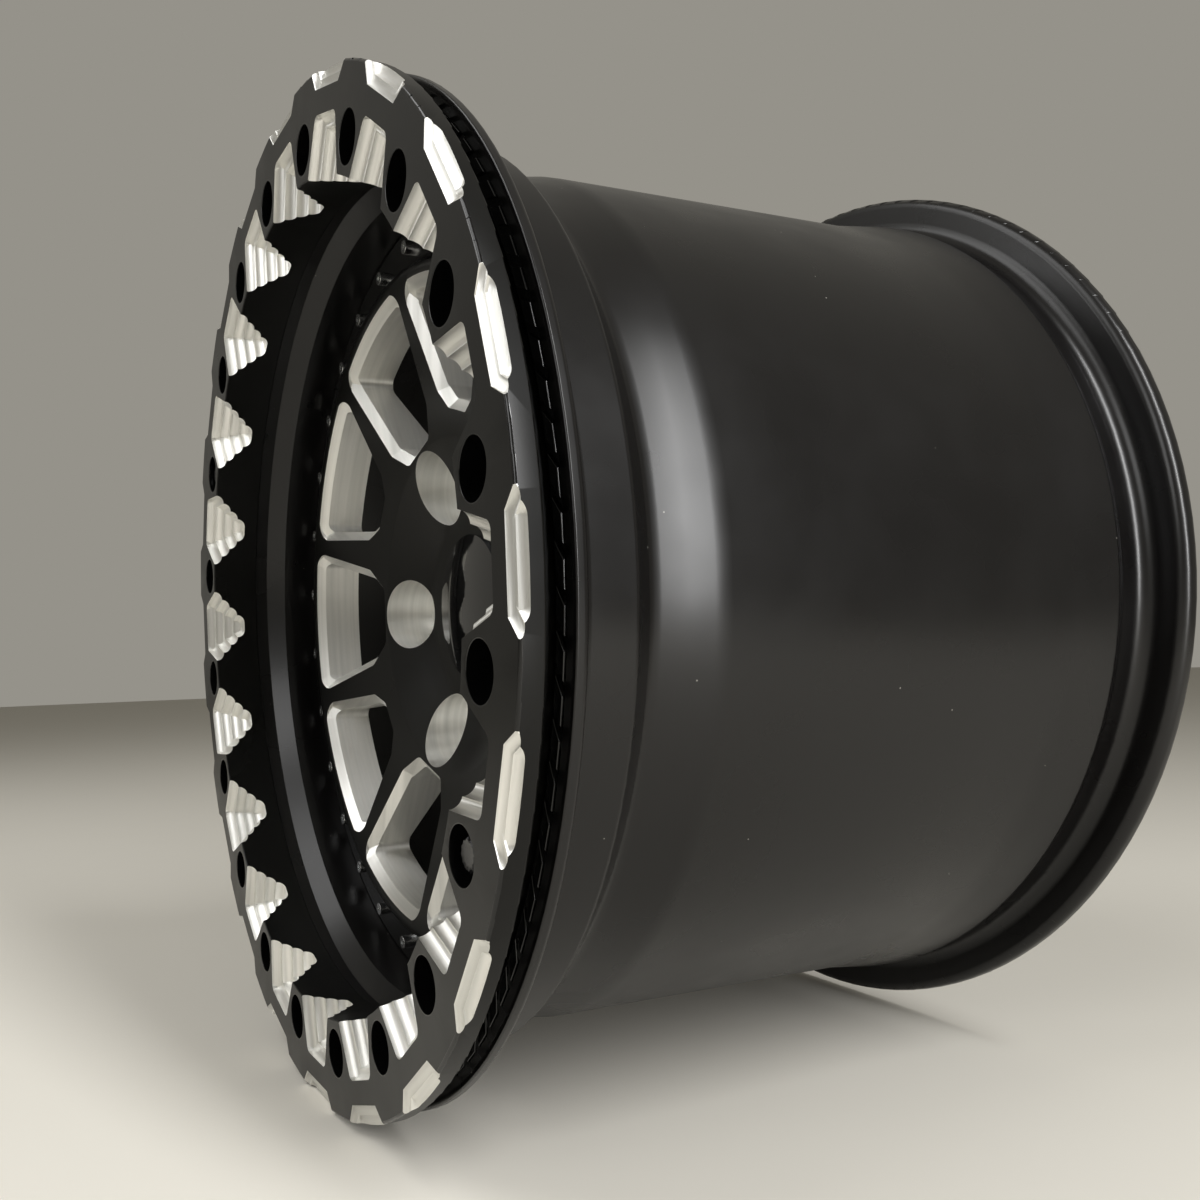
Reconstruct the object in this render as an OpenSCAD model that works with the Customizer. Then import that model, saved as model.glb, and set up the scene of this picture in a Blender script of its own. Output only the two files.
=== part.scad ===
// Forged beadlock wheel: a barrel with a screwed-in spoked centre, a bolted
// clamp ring with two of its bolts fitted, and a push-in centre cap.
// Every piece is drawn about Z, with z as the depth behind the ring's front
// face, and is then turned so that the axle lies along Y, front towards -Y.

/* [Overall] */
// Depth from the ring's front face to the rear lip
wheel_depth = 300.8; // [280:0.1:330]
// Radius of the rear bead seat at its flange, on which the rim's other radii hang
seat_r = 190.1; // [189.5:0.1:190.8]
// Number of lug pockets, each with a window outside it
lug_count = 5; // [5, 6]

/* [Clamp ring] */
// Overhang of the ring past the bead plate
ring_overhang = 1.5; // [0.5:0.1:5.5]
// Width of the ring between its opening and the bolt circle
ring_inner_w = 13.2; // [11:0.1:16]
// Thickness of the outer part that clamps the tyre bead
clamp_t = 8.5; // [7:0.1:11]
// Width of the bead plate around the register that centres the ring in the barrel
plate_ledge = 12.5; // [10.5:0.1:13.5]
// Radial clearance of the register
register_fit = 0.4; // [0.1:0.05:0.6]
// Radius that breaks the ring's outer edges
ring_edge_r = 1.2; // [0.5:0.1:2]

/* [Ring bolts] */
// Number of ring bolt places
bolt_count = 20; // [16:1:22]
// Distance from the register's edge to the bolt circle
bolt_inset = 11.8; // [11:0.1:12.5]
// Nominal bolt diameter
bolt_d = 8; // [6:0.5:8]
// Clearance hole diameter over the bolt diameter
bolt_hole_extra = 1; // [0.4:0.1:1.2]
// Diameter of the pocket that sinks a bolt head
head_pocket_d = 19.2; // [17:0.1:20]
// Depth of that pocket
head_pocket_depth = 11.5; // [10:0.1:13]
// Length of a bolt under its head
bolt_l = 25; // [20:1:28]
// Diameter of a bolt's flange
bolt_flange_d = 15.5; // [13:0.1:16.5]
// Thickness of a bolt's flange
bolt_flange_t = 1.8; // [1:0.1:2.5]
// Width across the corners of a bolt's twelve-point head
bolt_head_d = 11.6; // [10:0.1:12.5]
// Height of the twelve-point head above its flange
bolt_head_h = 7.4; // [5:0.1:7.6]

/* [Milled scallops] */
// Width of the ring's land outside a scallop's floor
scallop_land = 17; // [16:0.1:19]
// Half width of a scallop along its floor
scallop_floor_half = 12.9; // [11.5:0.1:13.5]
// Angle at which a scallop's sides open towards the bore
scallop_flare = 15.5; // [8:0.5:18]
// Number of ball-nosed passes that step down a scallop
scallop_passes = 4; // [3:1:5]
// Radius of the ball-nosed cutter, which is also one pass's depth
scallop_ball_r = 4.1; // [3.5:0.1:4.3]
// Radius of a scallop's outer corners
scallop_corner_r = 4; // [2:0.1:5]

/* [Milled notches] */
// Width of a notch, from its inner edge to the ring's outside
notch_w = 7.8; // [6:0.1:9]
// Half length of a notch along its inner edge
notch_half = 14.6; // [10:0.1:16]
// Angle at which a notch's ends open outwards
notch_flare = 45; // [30:1:55]
// Radius of the ball-nosed cutter
notch_ball_r = 3.8; // [3.2:0.1:4.5]
// Depth of the inner pass
notch_inner_depth = 1.5; // [1:0.1:2]
// Depth of the outer pass
notch_outer_depth = 3.2; // [2.5:0.1:4]
// Distance between the two passes
notch_step = 4; // [3.5:0.1:4.5]

/* [Bead plate] */
// Width of the slot between ring and plate that grips the tyre bead
bead_slot = 9.65; // [8:0.05:12]
// Height of the plate over the bead seat
plate_h = 20.4; // [19:0.1:20.7]
// Width of the plate's rim
plate_rim = 3.95; // [3:0.05:6]
// Depth of the recess that takes the ring's register
recess_depth = 5.55; // [4:0.05:7]
// Number of grip ribs
rib_count = 100; // [60:1:110]
// Distance from the plate's edge to the middle of the rib circle
rib_inset = 7.8; // [6.5:0.1:8.5]
// Radial height of a rib's outline
rib_radial = 4.7; // [3:0.1:6]
// Length of a rib around the circle
rib_l = 8.5; // [6:0.1:9.5]
// Slant of a rib, as the shift of its outer edge
rib_slant = 5.7; // [0:0.1:7]
// Height of a rib over the plate
rib_h = 1.1; // [0.5:0.1:1.6]

/* [Barrel] */
// Height over the bead seat of the land behind the bead plate
front_land_h = 1.8; // [1.4:0.1:3.9]
// Length of the cone between bead plate and land
front_cone_l = 9.3; // [7:0.1:12]
// Length of the front land
front_land_l = 19.1; // [17:0.1:24]
// Drop from that land to the floor of the groove
groove_drop = 10.6; // [9:0.1:12]
// Length of the fall into the groove
groove_fall = 10.5; // [8:0.1:13]
// Length of the groove's floor
groove_floor = 4.7; // [4.6:0.1:8]
// Length of the rise out of the groove
groove_rise = 21.3; // [17:0.1:28]
// Lift from the groove's floor to the barrel behind it
groove_lift = 4.4; // [3:0.1:6]
// Growth of the barrel's radius from there to its rear
barrel_growth = 2.6; // [1.8:0.1:3.3]
// Thickness of the barrel wall
wall = 7; // [6:0.1:8.5]
// Distance from the rear lip at which the rear hump starts to rise
hump_start = 58.1; // [45:0.1:70]
// Height of the rear hump over the bead seat
hump_h = 1.9; // [0.9:0.1:2.9]
// Distance from the rear lip to the hump's crest
hump_back = 27.3; // [26:0.1:32]
// Length of the hump's rear slope
hump_slope = 4.5; // [3:0.1:6]
// Fall of the rear bead seat towards the hump
seat_taper = 0.9; // [0.5:0.1:1.2]
// Height of the rear flange over the bead seat
rear_flange_h = 17.3; // [15:0.1:20]
// Thickness of the rear flange
rear_flange_t = 10; // [9.6:0.1:12]
// Radius of the fillet between seat and flange
flange_fillet_r = 6.5; // [4:0.1:7]
// Radius that blends the rise out of the groove into the barrel
rise_blend_r = 40; // [20:1:60]
// Width of the rear flange's end face with its roundings
rear_lip_w = 12.4; // [10:0.1:14]
// Angle around the axle of the valve hole, from the spoke window on the right
valve_angle = 75; // [60:1:80]
// Diameter of the valve hole
valve_hole_d = 11.3; // [8.3:0.1:12]
// Diameter of the valve hole's sink on the tyre side
valve_sink_d = 18; // [15:0.5:20]
// Wall left under the valve hole's sink
valve_wall = 6; // [4:0.5:10]

/* [Front of the barrel] */
// Width of the ring's seat, from the register's edge to the throat
ring_seat_w = 21; // [20:0.1:22]
// Length of the undercut behind the ring
undercut_l = 7; // [5:0.1:9]
// Length of the cone inside the barrel
throat_cone_l = 8.9; // [7:0.1:11]
// Step from the throat down to the bore in front of the centre
throat_step = 5.3; // [4:0.1:6.5]
// Width of the flange that the centre is screwed to
inner_flange_w = 19.7; // [18.2:0.1:20.2]
// Thickness of that flange
inner_flange_t = 9; // [8:0.1:11]

/* [Centre] */
// Depth of the spoke face at its outer edge
spoke_face_z = 50.2; // [48:0.1:54]
// Width of the ledge between the raised spoke face and the barrel's bore
screw_ledge_w = 21.7; // [19.7:0.1:23.2]
// Depth of the screw flange under the spoke face
flange_step = 6.6; // [5:0.1:8]
// Thickness of the screw flange
screw_flange_t = 9; // [7:0.1:10]
// Radial clearance of the centre in the barrel
centre_fit = 0.2; // [0.1:0.05:0.4]
// Thickness of the centre at its outer edge
centre_t = 23.2; // [20:0.1:28]
// Fall of the face from its outer edge to the lug shoulders
spoke_fall = 17.6; // [14:0.1:20]
// Distance from the lug circle to the lug shoulders' edge
shoulder_w = 16.675; // [15:0.005:17.5]
// Fall of the face from its outer edge to the hub
hub_fall = 31.4; // [29:0.1:33]
// Width of the bevel around the cap's rim
hub_bevel_w = 12.6; // [11:0.1:14]
// Rise of the face across that bevel
hub_bevel = 1.7; // [1:0.1:2.5]
// Thickness of the hub from its face to the mounting face
hub_t = 26.4; // [24:0.1:30]
// Distance from the lug circle to the mounting face's edge
mount_w = 19.675; // [18.7:0.005:21.7]
// Length of the neck between mounting face and spokes
mount_neck = 16; // [12:0.1:17]
// Growth of the radius along that neck
neck_growth = 8; // [6:0.1:12]

/* [Hub] */
// Step from the cap's bore out to the bore that centres the wheel on a hub
hub_bore_step = 5.15; // [2:0.05:6]
// Length of that bore
hub_bore_l = 12; // [10:0.5:13]
// Radius of the bore that holds the cap
cap_bore_r = 30; // [27:0.1:31]
// Radius of the lug circle
lug_circle_r = 60.325; // [60:0.005:60.5]
// Radius of a lug pocket
lug_pocket_r = 17.2; // [16:0.1:17.4]
// Thickness of the centre under a lug pocket
lug_floor_t = 15; // [12:0.1:18]
// Diameter of a lug hole
lug_hole_d = 15; // [12.5:0.1:16]
// Largest diameter of a lug hole's tapered seat
lug_seat_d = 23; // [20:0.1:25]
// Full angle of that seat
lug_seat_angle = 60; // [60:1:90]

/* [Windows] */
// Width of the spoke face's rim outside the windows
window_rim_w = 5.4; // [4:0.1:8]
// Half angle of a lug window
lug_window_half = 15.6; // [14:0.1:16]
// Width of a spoke's face at its outer end
spoke_tip_w = 6.6; // [5:0.1:8]
// Distance from the lug shoulders' edge to a lug window's inner end
lug_window_gap = 1.6; // [1:0.1:5]
// Half width of that end
lug_window_in_half = 14; // [11:0.1:16]
// Length over which a lug window closes in towards that end
lug_window_waist_l = 14.7; // [12:0.1:19]
// Distance by which a spoke window's inner end lies outside a lug window's
spoke_window_gap = 9.7; // [8:0.1:13]
// Half width of that end
spoke_window_in_half = 9; // [7:0.1:11]
// Length over which a spoke window closes in towards that end
spoke_window_bend_l = 6.2; // [5.2:0.1:9.7]
// Half width of a spoke window at that bend
spoke_window_bend_half = 18.8; // [16:0.1:20]
// Width of the bevel around a window
bevel_w = 4.6; // [3:0.1:5]
// Depth of that bevel
bevel_depth = 3.6; // [2.5:0.1:5]
// Radius of a window's corners
window_corner_r = 4; // [3:0.1:5]

/* [Centre screws] */
// Number of screws that hold the centre
screw_count = 30; // [20:1:36]
// Distance from the barrel's bore to the circle of screws
screw_inset = 9.5; // [7:0.1:12]
// Nominal diameter of a screw
screw_d = 4; // [3:0.5:4]
// Clearance hole diameter over the screw diameter
screw_hole_extra = 0.4; // [0.2:0.1:0.8]
// Diameter of a screw's head
screw_head_d = 6.2; // [5.5:0.1:7]
// Height of that head
screw_head_h = 3.4; // [2.5:0.1:4]
// Length of a screw under its head
screw_l = 16; // [14:0.5:20]
// Width of the hexagon socket across its flats
screw_socket = 2.5; // [2:0.1:3]
// Depth of that socket
screw_socket_depth = 1.8; // [1:0.1:2]

/* [Centre cap] */
// Overhang of the cap's rim past its bore
cap_overhang = 3.4; // [2:0.1:3.8]
// Height of the cap's rim
cap_rim_h = 1.6; // [1:0.1:2.5]
// Height of the dome over the rim
cap_dome_h = 2.8; // [1:0.1:6]
// Thickness of the cap's top and skirt
cap_wall = 2.4; // [1.8:0.1:3]
// Depth of the cap's skirt in its bore
cap_skirt = 10; // [8:0.5:12]
// Clearance of that skirt
cap_fit = 0.1; // [0.05:0.05:0.3]
// Thickness of the O-ring that holds the cap
o_ring_d = 1.8; // [1.5:0.1:2]

/* [Hidden] */
$fn = 96;
// Overrun of a cut past the face it opens
over = 1;
// Overrun of a rounding past the edges it blends
graze = 0.002;
// A length beyond any edge of the wheel, for cutting blocks
reach = 90;

// Radii of the rim, from the bead seat
plate_r = seat_r + plate_h;
ring_r = plate_r + ring_overhang;
register_r = plate_r - plate_ledge;
bolt_circle_r = register_r - bolt_inset;
ring_bore_r = bolt_circle_r - ring_inner_w;
scallop_floor_r = ring_r - scallop_land;
notch_inner_r = ring_r - notch_w;
rib_circle_r = plate_r - rib_inset;
front_land_r = seat_r + front_land_h;
groove_r = front_land_r - groove_drop;
barrel_front_r = groove_r + groove_lift;
barrel_rear_r = barrel_front_r + barrel_growth;
hump_r = seat_r + hump_h;
rear_lip_r = seat_r + rear_flange_h;
rear_mouth_r = rear_lip_r - rear_lip_w;
throat_r = register_r - ring_seat_w;
front_bore_r = throat_r - throat_step;

// Radii of the centre, in from the barrel's bore and out from the hub
inner_flange_r = front_bore_r - inner_flange_w;
screw_circle_r = front_bore_r - screw_inset;
spoke_face_r = front_bore_r - screw_ledge_w;
window_r = spoke_face_r - window_rim_w;
cap_r = cap_bore_r + cap_overhang;
hub_bore_r = cap_bore_r + hub_bore_step;
hub_bevel_r = cap_r + hub_bevel_w;
shoulder_r = lug_circle_r + shoulder_w;
mount_r = lug_circle_r + mount_w;
mount_neck_r = mount_r + neck_growth;
lug_window_in = shoulder_r + lug_window_gap;
lug_window_waist_r = lug_window_in + lug_window_waist_l;
spoke_window_in = lug_window_in + spoke_window_gap;
spoke_window_bend = spoke_window_in + spoke_window_bend_l;

// Depths behind the ring's front face
plate_z = clamp_t + bead_slot;
ring_t = plate_z + recess_depth;
cone_z = plate_z + plate_rim + front_cone_l;
land_end_z = cone_z + front_land_l;
groove_z = land_end_z + groove_fall;
rise_z = groove_z + groove_floor;
barrel_z = rise_z + groove_rise;
hump_start_z = wheel_depth - hump_start;
hump_z = wheel_depth - hump_back;
seat_z = hump_z + hump_slope;
rear_flange_z = wheel_depth - rear_flange_t;
throat_z = ring_t + undercut_l;
front_bore_z = throat_z + throat_cone_l;
screw_flange_z = spoke_face_z + flange_step;
inner_flange_z = screw_flange_z + screw_flange_t;
centre_back_z = spoke_face_z + centre_t;
shoulder_z = spoke_face_z + spoke_fall;
hub_face_z = spoke_face_z + hub_fall;
mount_z = hub_face_z + hub_t;
neck_z = mount_z - mount_neck;
lug_floor_z = mount_z - lug_floor_t;
cap_bore_end_z = mount_z - hub_bore_l;

// Angles of the patterns
lug_pitch = 360 / lug_count;
bolt_pitch = 360 / bolt_count;
// Places of the two bolts that are fitted, opposite each other
fitted_bolts = [1, 1 + floor(bolt_count / 2)];
spoke_tip_angle = 2 * asin(spoke_tip_w / 2 / window_r);
spoke_window_half = lug_pitch / 2 - lug_window_half - spoke_tip_angle;
face_break_r = (window_r + spoke_face_r) / 2;
back_break_r = window_r - bevel_w - 6;
face_slope = spoke_fall / (face_break_r - shoulder_r);
bevel_over = 0.15;

// Vectors
function unit(v) = v / norm(v);
function polar(r, angle) = r * [cos(angle), sin(angle)];
// Outward normal of the edge from a to b, in an outline that runs anticlockwise
function edge_normal(a, b) = let(d = unit(b - a)) [d.y, -d.x];
// A corner moved out so that both of its edges move out by d
function grown_corner(a, p, b, d) =
    let(n = edge_normal(a, p), m = edge_normal(p, b)) p + (n + m) * d / (1 + n * m);
function around(points, i) = points[(i + len(points)) % len(points)];
// An outline with every edge moved out by d
function grown(points, d) = [
    for (i = [0:len(points) - 1]) grown_corner(around(points, i - 1), points[i], around(points, i + 1), d)
];

// The arc of radius r that blends the corner p between a and b, as its start,
// its centre and its end
function blend(a, p, b, r) =
    let(u = unit(a - p), v = unit(b - p), half = acos(u * v) / 2)
    [p + u * r / tan(half), p + unit(u + v) * r / sin(half), p + v * r / tan(half)];

// The sliver between an outer corner and its arc, with a small overrun past the edges
module corner_sliver(arc, p, r) {
    overrun = 1 + 0.2 / r;
    translate(arc[1]) difference() {
        polygon([
            [0, 0],
            (arc[0] - arc[1]) * overrun,
            (p - arc[1]) * overrun,
            (arc[2] - arc[1]) * overrun
        ]);
        circle(r = r + graze);
    }
}

// An outline that runs anticlockwise, each corner given as [x, y, radius].
// An inner corner is filled out to its arc's centre, which is then cut back round.
module rounded_outline(corners) {
    last = len(corners) - 1;
    p = [for (c = corners) [c.x, c.y]];
    arcs = [for (i = [0:last]) blend(around(p, i - 1), p[i], around(p, i + 1), corners[i].z)];
    bend = [for (i = [0:last]) cross(p[i] - around(p, i - 1), around(p, i + 1) - p[i])];
    inner = [for (i = [0:last]) if (corners[i].z > 0 && bend[i] < 0) i];
    outer = [for (i = [0:last]) if (corners[i].z > 0 && bend[i] > 0) i];
    difference() {
        polygon([for (i = [0:last]) each len(search(i, inner)) > 0 ? arcs[i] : [p[i]]]);
        for (i = inner) translate(arcs[i][1]) circle(r = corners[i].z + graze);
        for (i = outer) corner_sliver(arcs[i], p[i], corners[i].z);
    }
}

// Copies around the axle
module ring_of(count, start = 0) {
    for (k = [0:count - 1]) rotate([0, 0, start + k * 360 / count]) children();
}

// Turns the drawing frame into the wheel's own frame
module on_axle() {
    translate([0, -wheel_depth / 2, 0]) rotate([-90, 0, 0]) children();
}

// Clamp ring
module ring_blank() {
    rotate_extrude()
        rounded_outline([
            [ring_bore_r, 0, ring_edge_r / 2],
            [ring_r, 0, ring_edge_r],
            [ring_r, clamp_t, ring_edge_r],
            [register_r, clamp_t, 2],
            [register_r, ring_t, 1],
            [ring_bore_r, ring_t, ring_edge_r / 2]
        ]);
}

// Section across a scallop's wall, x away from the wall's foot at 0 and y as depth
module scallop_section() {
    for (i = [0:scallop_passes - 1])
        let(centre = -scallop_ball_r * (i + 1)) {
            translate([-reach, -over]) square([reach + centre, scallop_ball_r * (i + 1) + over]);
            translate([centre, scallop_ball_r * i]) circle(r = scallop_ball_r);
        }
}

// Section across a notch's wall, opening away from the axle
module notch_section() {
    inner_x = sqrt(pow(notch_ball_r, 2) - pow(notch_ball_r - notch_inner_depth, 2));
    translate([inner_x, notch_inner_depth - notch_ball_r]) circle(r = notch_ball_r);
    translate([inner_x + notch_step, notch_outer_depth - notch_ball_r]) {
        circle(r = notch_ball_r);
        translate([0, -over]) square([reach, notch_ball_r + over]);
    }
}

// A wall section run along y, its x turned to the given angle
module wall_run(angle) {
    rotate([0, 0, angle]) rotate([90, 0, 0]) linear_extrude(2 * reach, center = true) children();
}

// The stepped passes down one side of a scallop
module scallop_side(side) {
    translate([scallop_floor_r, side * scallop_floor_half, 0])
        wall_run(side * (90 - scallop_flare)) scallop_section();
}

// One scallop, centred on +X, milled from the front face in stepped passes
module scallop() {
    mouth = ring_bore_r - 3 * over;
    mouth_half = scallop_floor_half + (scallop_floor_r - mouth) * tan(scallop_flare);
    outline = [
        [mouth, -mouth_half, 0],
        [scallop_floor_r, -scallop_floor_half, scallop_corner_r],
        [scallop_floor_r, scallop_floor_half, scallop_corner_r],
        [mouth, mouth_half, 0]
    ];
    intersection() {
        translate([0, 0, -over]) linear_extrude(ring_t) rounded_outline(outline);
        translate([scallop_floor_r, 0, 0]) wall_run(0) scallop_section();
        scallop_side(-1);
        scallop_side(1);
    }
}

// The two passes down one end of a notch
module notch_end(side) {
    translate([notch_inner_r, side * notch_half, 0])
        wall_run(-side * (90 - notch_flare)) notch_section();
}

// One notch, centred on +X, milled off the ring's front outer edge
module notch() {
    intersection() {
        translate([notch_inner_r, 0, 0]) wall_run(0) notch_section();
        notch_end(-1);
        notch_end(1);
    }
}

// One bolt place in the ring, on +X
module ring_bolt_hole() {
    translate([bolt_circle_r, 0, -over]) {
        cylinder(d = head_pocket_d, h = head_pocket_depth + over);
        cylinder(d = bolt_d + bolt_hole_extra, h = ring_t + 2 * over);
    }
}

module beadlock_ring() {
    color([0.07, 0.07, 0.08]) on_axle() difference() {
        ring_blank();
        ring_of(bolt_count) {
            scallop();
            notch();
        }
        ring_of(bolt_count, bolt_pitch / 2) ring_bolt_hole();
    }
}

// Section of the barrel: the front recess and plate, the outside, the rear
// lip, the inside, the inner flange and the throat
module barrel_section() {
    recess_r = register_r + register_fit;
    rounded_outline([
        [throat_r, ring_t, 0.4],
        [recess_r, ring_t, 0.8],
        [recess_r, plate_z, 0.6],
        [plate_r, plate_z, 0.8],
        [plate_r, plate_z + plate_rim, 2.5],
        [front_land_r, cone_z, 4],
        [front_land_r, land_end_z, 3],
        [groove_r, groove_z, 4],
        [groove_r, rise_z, 0],
        [barrel_front_r, barrel_z, rise_blend_r],
        [barrel_rear_r, hump_start_z, 0],
        [hump_r, hump_z, 4],
        [seat_r - seat_taper, seat_z, 4],
        [seat_r, rear_flange_z, flange_fillet_r],
        [rear_lip_r, rear_flange_z, 4.5],
        [rear_lip_r, wheel_depth, 4.5],
        [rear_mouth_r, wheel_depth, 4],
        [seat_r - wall, rear_flange_z - 3, 6],
        [seat_r - wall, hump_z - wall, 0],
        [barrel_rear_r - wall, hump_start_z, 0],
        [barrel_front_r - wall, barrel_z, 0],
        [groove_r - wall, inner_flange_z + inner_flange_t, 3],
        [inner_flange_r, inner_flange_z + inner_flange_t, 1],
        [inner_flange_r, inner_flange_z, 0.5],
        [front_bore_r, inner_flange_z, 0.8],
        [front_bore_r, front_bore_z, 1],
        [throat_r, throat_z, 1]
    ]);
}

// Section of the centre: the hub bores, the spoke face, the screw flange and the back
module centre_section() {
    rim_r = front_bore_r - centre_fit;
    spigot_r = inner_flange_r - centre_fit;
    rounded_outline([
        [cap_bore_r, cap_bore_end_z, 0.5],
        [cap_bore_r, hub_face_z, 0.5],
        [cap_r + 0.6, hub_face_z, 0],
        [hub_bevel_r, hub_face_z - hub_bevel, 0],
        [shoulder_r, shoulder_z, 20],
        [face_break_r, spoke_face_z, 6],
        [spoke_face_r, spoke_face_z, 1.2],
        [spoke_face_r, screw_flange_z, 1.2],
        [rim_r, screw_flange_z, 0.8],
        [rim_r, inner_flange_z, 0.8],
        [spigot_r, inner_flange_z, 0],
        [spigot_r, centre_back_z, 1],
        [back_break_r, centre_back_z, 6],
        [mount_neck_r, neck_z, 6],
        [mount_r, mount_z, 1.5],
        [hub_bore_r, mount_z, 1],
        [hub_bore_r, cap_bore_end_z, 0]
    ]);
}

// Outline of a window on the face, centred on +X: its side leaves the outer
// edge at half_angle, bends at the waist and runs to the inner end.
// Its outer edge is an arc about the axle, blended at the outline's first corner.
function window_points(half_angle, waist, inner) =
    let(arc_half = half_angle * 2 / 3, corner_r = window_r / cos(half_angle - arc_half))
    [
        [window_r / cos(arc_half), 0],
        polar(corner_r, half_angle),
        waist,
        inner,
        [inner.x, -inner.y],
        [waist.x, -waist.y],
        polar(corner_r, -half_angle)
    ];

lug_window_points = window_points(
    lug_window_half, polar(lug_window_waist_r, lug_window_half), [lug_window_in, lug_window_in_half]);
spoke_window_points = window_points(
    spoke_window_half, [spoke_window_bend, spoke_window_bend_half], [spoke_window_in, spoke_window_in_half]);

// A window's outline moved out by d, its corners rounded
module window_outline(points, d) {
    p = grown(points, d);
    rounded_outline([
        for (i = [0:len(p) - 1])
            [p[i].x, p[i].y, i == 0 ? window_r + d : window_corner_r + bevel_w + d]
    ]);
}

function face_z(p) = spoke_face_z + max(0, face_break_r - norm(p)) * face_slope;

// All that lies behind the bevel along the face's edge from a to b
module bevel_block(a, b) {
    d = b - a;
    pitch = -atan2(face_z(b) - face_z(a), norm(d));
    translate([a.x, a.y, face_z(a)])
        rotate([0, 0, atan2(d.y, d.x)])
            rotate([0, pitch, 0])
                rotate([atan2(bevel_depth, bevel_w), 0, 0])
                    translate([-2 * reach, -2 * reach, 0]) cube([4 * reach, 4 * reach, 2 * reach]);
}

// All that lies in front of the bevel along the windows' outer edge
module rim_bevel_cone() {
    slope = bevel_w / bevel_depth;
    back = 30;
    front = 10;
    translate([0, 0, -front])
        cylinder(h = front + back, r1 = window_r + front * slope, r2 = window_r - back * slope);
}

// One window: a straight wall through the centre and a bevel around its face,
// whose own outline stands a little outside the bevel's edges
module window(points) {
    last = len(points) - 1;
    translate([0, 0, spoke_face_z - over])
        linear_extrude(mount_z - spoke_face_z) window_outline(points, -bevel_w);
    difference() {
        intersection() {
            translate([0, 0, spoke_face_z - over])
                linear_extrude(mount_z - spoke_face_z) window_outline(points, bevel_over);
            translate([0, 0, face_z([window_r, 0])]) rim_bevel_cone();
        }
        for (i = [1:last - 1]) bevel_block(points[i], points[i + 1]);
    }
}

// One lug place, on +X: a pocket from the face, a tapered seat and a hole
module lug_place() {
    seat_h = (lug_seat_d - lug_hole_d) / 2 / tan(lug_seat_angle / 2);
    translate([lug_circle_r, 0, 0]) {
        translate([0, 0, spoke_face_z]) cylinder(r = lug_pocket_r, h = lug_floor_z - spoke_face_z);
        translate([0, 0, lug_floor_z]) cylinder(d1 = lug_seat_d, d2 = lug_hole_d, h = seat_h);
        translate([0, 0, lug_floor_z - over]) cylinder(d = lug_hole_d, h = lug_floor_t + 2 * over);
    }
}

// A threaded hole for a ring bolt, on +X
module rim_bolt_hole() {
    depth = head_pocket_depth + bolt_l + 2;
    translate([bolt_circle_r, 0, ring_t - over]) cylinder(d = bolt_d, h = depth - ring_t + over);
}

// The valve hole, sunk from the tyre side
module valve_hole() {
    z = (front_bore_z + screw_flange_z) / 2;
    rotate([0, 0, valve_angle]) translate([0, 0, z]) rotate([0, 90, 0]) {
        translate([0, 0, front_bore_r - 2 * over]) cylinder(d = valve_hole_d, h = reach);
        translate([0, 0, front_bore_r + valve_wall]) cylinder(d = valve_sink_d, h = reach);
    }
}

// The circle of screw holes through a flange of thickness t at depth z
module screw_holes(z, t, d) {
    ring_of(screw_count, 180 / screw_count)
        translate([screw_circle_r, 0, z - over]) cylinder(d = d, h = t + 2 * over);
}

// One slanted grip rib on the bead plate, on +X
module grip_rib() {
    inner = rib_circle_r - rib_radial / 2;
    outer = rib_circle_r + rib_radial / 2;
    translate([0, 0, plate_z - rib_h])
        linear_extrude(rib_h + over)
            polygon([
                [inner, -(rib_l + rib_slant) / 2],
                [outer, (rib_slant - rib_l) / 2],
                [outer, (rib_slant + rib_l) / 2],
                [inner, (rib_l - rib_slant) / 2]
            ]);
}

module barrel() {
    color([0.09, 0.09, 0.1]) on_axle() difference() {
        union() {
            rotate_extrude() barrel_section();
            ring_of(rib_count) grip_rib();
        }
        ring_of(bolt_count, bolt_pitch / 2) rim_bolt_hole();
        screw_holes(inner_flange_z, inner_flange_t, screw_d);
        valve_hole();
    }
}

module centre() {
    color([0.09, 0.09, 0.1]) on_axle() difference() {
        rotate_extrude() centre_section();
        ring_of(lug_count, lug_pitch / 2) {
            window(lug_window_points);
            lug_place();
        }
        ring_of(lug_count) window(spoke_window_points);
        screw_holes(screw_flange_z, screw_flange_t, screw_d + screw_hole_extra);
    }
}

// A ring bolt, its head towards -Z and the flange's underside at 0
module ring_bolt() {
    translate([0, 0, -bolt_flange_t]) cylinder(d = bolt_flange_d, h = bolt_flange_t);
    for (turn = [0, 30])
        rotate([0, 0, turn])
            translate([0, 0, -bolt_flange_t - bolt_head_h])
                cylinder(d = bolt_head_d, h = bolt_head_h + bolt_flange_t / 2, $fn = 6);
    cylinder(d = bolt_d, h = bolt_l);
}

module ring_bolts() {
    color([0.04, 0.04, 0.04]) on_axle()
        for (place = fitted_bolts)
            rotate([0, 0, (place + 0.5) * bolt_pitch])
                translate([bolt_circle_r, 0, head_pocket_depth]) ring_bolt();
}

// A socket head screw, its head towards -Z and the head's underside at 0
module socket_screw() {
    edge = 0.5;
    difference() {
        rotate_extrude()
            polygon([
                [0, screw_l], [0, -screw_head_h],
                [screw_head_d / 2 - edge, -screw_head_h], [screw_head_d / 2, edge - screw_head_h],
                [screw_head_d / 2, 0], [screw_d / 2, 0], [screw_d / 2, screw_l]
            ]);
        translate([0, 0, -screw_head_h - over])
            cylinder(d = screw_socket / cos(30), h = screw_socket_depth + over, $fn = 6);
    }
}

module centre_screws() {
    color([0.8, 0.8, 0.82]) on_axle()
        ring_of(screw_count, 180 / screw_count)
            translate([screw_circle_r, 0, screw_flange_z]) socket_screw();
}

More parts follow.
